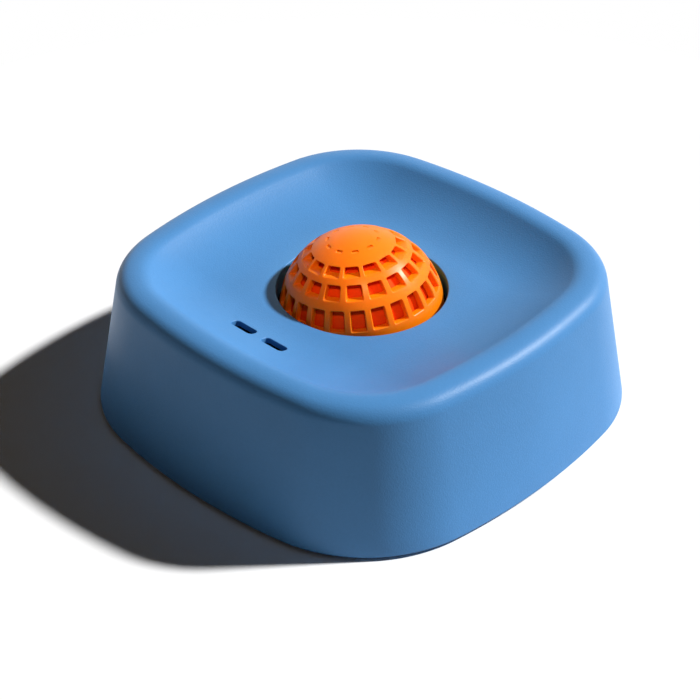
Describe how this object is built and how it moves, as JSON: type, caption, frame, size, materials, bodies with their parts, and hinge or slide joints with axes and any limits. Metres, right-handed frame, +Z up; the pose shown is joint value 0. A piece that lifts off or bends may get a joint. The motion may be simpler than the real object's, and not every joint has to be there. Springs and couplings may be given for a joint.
{
  "type": "dog lick bowl",
  "caption": "Rounded-square blue dog lick bowl: a dished cover with drain slots over a reservoir pan, and a loose orange windowed ball that rolls in the dish's hole.",
  "frame": {"origin": "on the floor, midway between the four feet, under the centre of the ball", "axes": "+Z up; -Y is the front, the side with the two drain slots; +X to the right seen from the front"},
  "size_m": [0.1996, 0.1996, 0.0769],
  "materials": {
    "cover_blue": "satin",
    "pan_black": "satin",
    "ball_orange": "satin",
    "core_red": "gloss",
    "foot_rubber": "matte"
  },
  "bodies": {
    "pan": {"base_pan": "pan_black", "foot_front_left": "foot_rubber", "foot_front_right": "foot_rubber", "foot_rear_left": "foot_rubber", "foot_rear_right": "foot_rubber"},
    "cover": {"top_cover": "cover_blue"},
    "core": {"ball_core": "core_red"},
    "ball": {"ball_upper_half": "ball_orange", "ball_lower_half": "ball_orange"}
  },
  "joints": [
    {"name": "cover_lift", "type": "slide", "parent": "pan", "child": "cover", "axis": [0, 0, 1], "range_m": [0, 0.08]},
    {"name": "ball_lift", "type": "slide", "parent": "pan", "child": "core", "axis": [0, 0, 1], "range_m": [0, 0.07]},
    {"name": "ball_roll", "type": "hinge", "parent": "core", "child": "ball", "pos_m": [0, 0, 0.0423], "axis": [1, 0, 0], "continuous": true}
  ]
}
